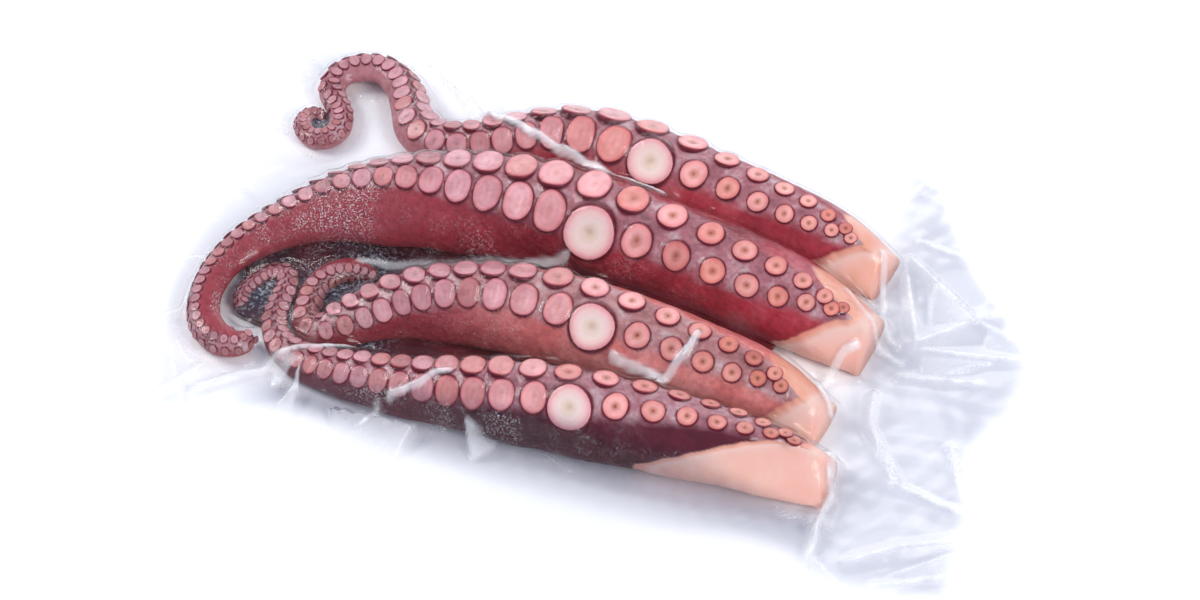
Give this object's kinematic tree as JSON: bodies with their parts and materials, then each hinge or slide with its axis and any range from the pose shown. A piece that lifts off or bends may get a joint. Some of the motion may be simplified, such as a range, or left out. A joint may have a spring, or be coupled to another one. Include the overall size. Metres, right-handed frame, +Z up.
{
  "type": "vacuum pack of cooked octopus arms",
  "caption": "Clear vacuum-sealed pouch lying flat, with cooked octopus arms side by side in it, suckers up, tips coiled.",
  "frame": {"origin": "centre of the pouch's rectangle on the surface it lies on", "axes": "+X along the pouch, from the coiled tips towards the cut ends; +Y across the arms, towards arm_1; +Z up"},
  "size_m": [0.34, 0.226, 0.0367],
  "materials": {
    "arm_skin": "wet, satin, maroon skin with salmon-pink suckers",
    "arm_skin_dark": "wet, satin, dark maroon skin with salmon-pink suckers",
    "pouch_film": "clear glossy plastic film, wrinkled"
  },
  "bodies": {
    "root": {"arm_1": "arm_skin", "arm_2": "arm_skin", "arm_3": "arm_skin", "arm_4": "arm_skin_dark", "pouch": "pouch_film"}
  },
  "joints": []
}
